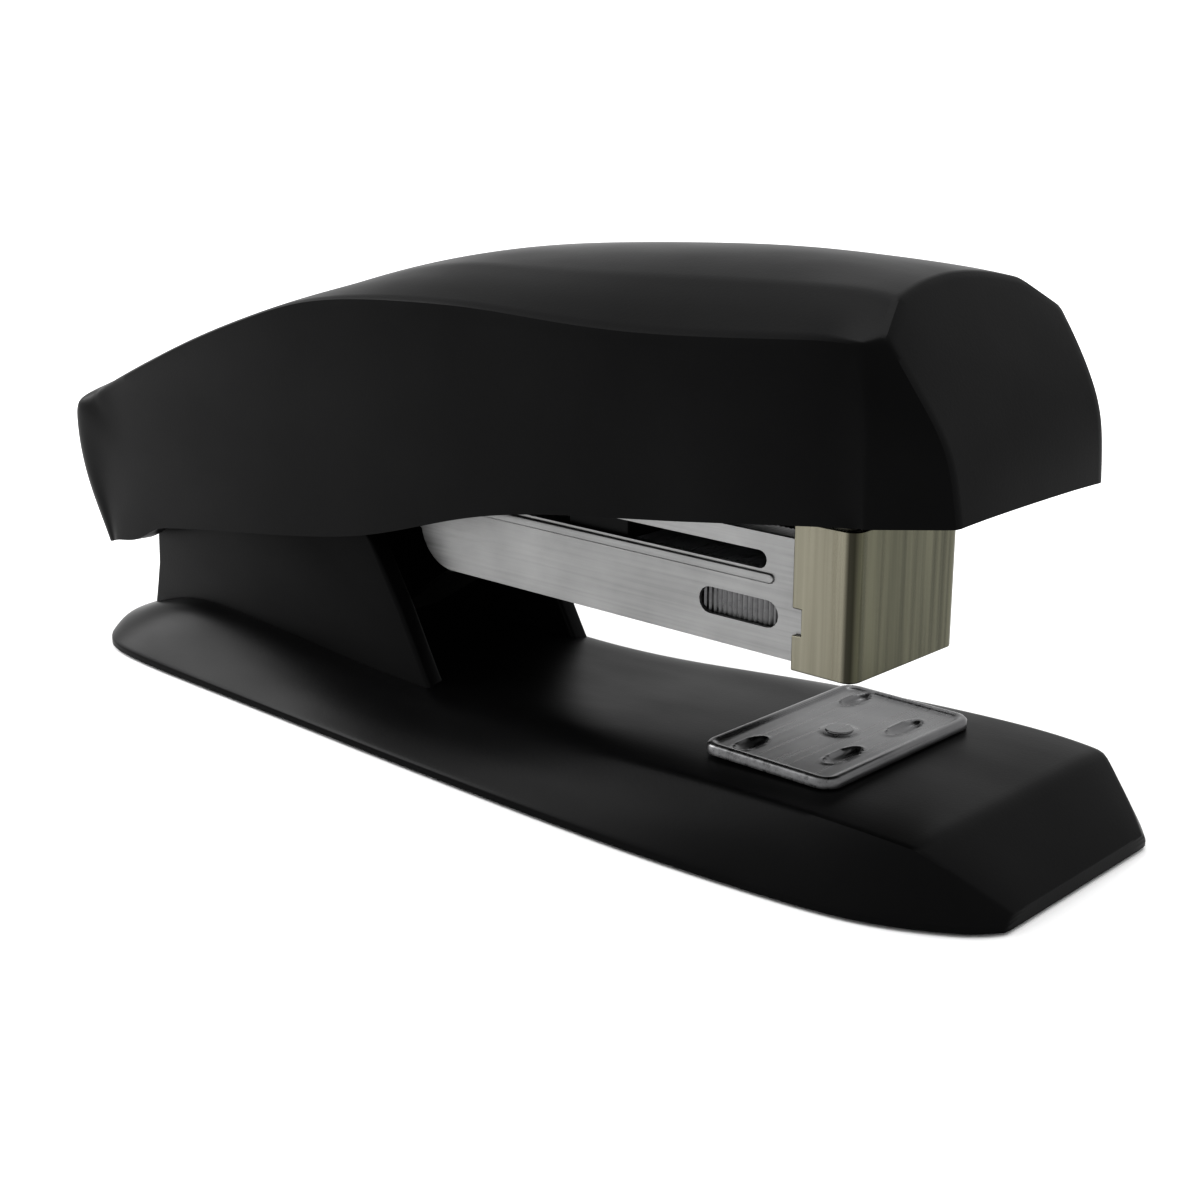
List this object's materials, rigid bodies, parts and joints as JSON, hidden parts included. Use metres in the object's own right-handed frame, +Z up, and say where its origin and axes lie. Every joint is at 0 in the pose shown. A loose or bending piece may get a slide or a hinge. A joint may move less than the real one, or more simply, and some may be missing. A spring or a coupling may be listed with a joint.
{
  "type": "desk stapler",
  "caption": "Black plastic half-strip desk stapler with hinged cover, sprung steel magazine with a plated head, staple pusher and a turnable steel anvil.",
  "frame": {"origin": "centre of the footprint, on the surface it stands on", "axes": "+X towards the nose, +Z up, Y across the stapler, which is symmetric about Y = 0"},
  "size_m": [0.1172, 0.0378, 0.0475],
  "materials": {
    "black_plastic": "satin moulded",
    "sole_rubber": "matt",
    "zinc_steel": "zinc plated",
    "screw_steel": "zinc plated",
    "pin_steel": "bright",
    "spring_steel": "oiled",
    "magazine_steel": "satin",
    "nickel_plate": "brushed nickel",
    "staple_wire": "galvanised",
    "pusher_plastic": "satin moulded",
    "button_plastic": "satin moulded",
    "anvil_steel": "satin"
  },
  "bodies": {
    "base": {"base_shell": "black_plastic", "base_sole": "sole_rubber", "base_plate": "zinc_steel", "base_screws": "screw_steel", "hinge_pin": "pin_steel", "hinge_pin_clip": "pin_steel", "lift_spring": "spring_steel", "anvil_spring": "spring_steel"},
    "magazine": {"magazine_channel": "magazine_steel", "front_casing": "nickel_plate", "staple_rail": "magazine_steel", "rail_rivets": "pin_steel", "hinge_spacer": "zinc_steel", "rod_bracket": "zinc_steel", "guide_rod": "pin_steel", "pusher_spring": "spring_steel", "staple_strip": "staple_wire"},
    "pusher": {"staple_pusher": "pusher_plastic"},
    "cover": {"cover_shell": "black_plastic", "pressing_arm": "zinc_steel", "driver_blade": "spring_steel", "driver_rivets": "pin_steel", "return_spring": "spring_steel", "spring_rivets": "pin_steel", "cover_screws": "screw_steel"},
    "anvil_lift": {"anvil_button": "button_plastic"},
    "anvil": {"anvil_plate": "anvil_steel", "anvil_post": "anvil_steel"}
  },
  "joints": [
    {"name": "magazine_hinge", "type": "hinge", "parent": "base", "child": "magazine", "pos_m": [-0.0436, 0, 0.0235], "axis": [0, -1, 0], "range_deg": [-4.7, 0], "stiffness_Nm_per_rad": 1.2, "springref_deg": 6.88, "deforming": ["lift_spring"]},
    {"name": "cover_hinge", "type": "hinge", "parent": "magazine", "child": "cover", "pos_m": [-0.0436, 0, 0.0235], "axis": [0, -1, 0], "range_deg": [-7, 60], "stiffness_Nm_per_rad": 4, "springref_deg": 0.23, "deforming": ["return_spring"]},
    {"name": "pusher_slide", "type": "slide", "parent": "magazine", "child": "pusher", "axis": [1, 0, 0], "range_m": [-0.015, 0], "stiffness_N_per_m": 60, "springref_m": 0.04, "deforming": ["pusher_spring"]},
    {"name": "anvil_lift", "type": "slide", "parent": "base", "child": "anvil_lift", "axis": [0, 0, 1], "range_m": [0, 0.0016], "stiffness_N_per_m": 800, "springref_m": -0.002, "deforming": ["anvil_spring"]},
    {"name": "anvil_turn", "type": "hinge", "parent": "anvil_lift", "child": "anvil", "pos_m": [0.0352, 0, 0.0067], "axis": [0, 0, 1], "range_deg": [0, 180]}
  ]
}
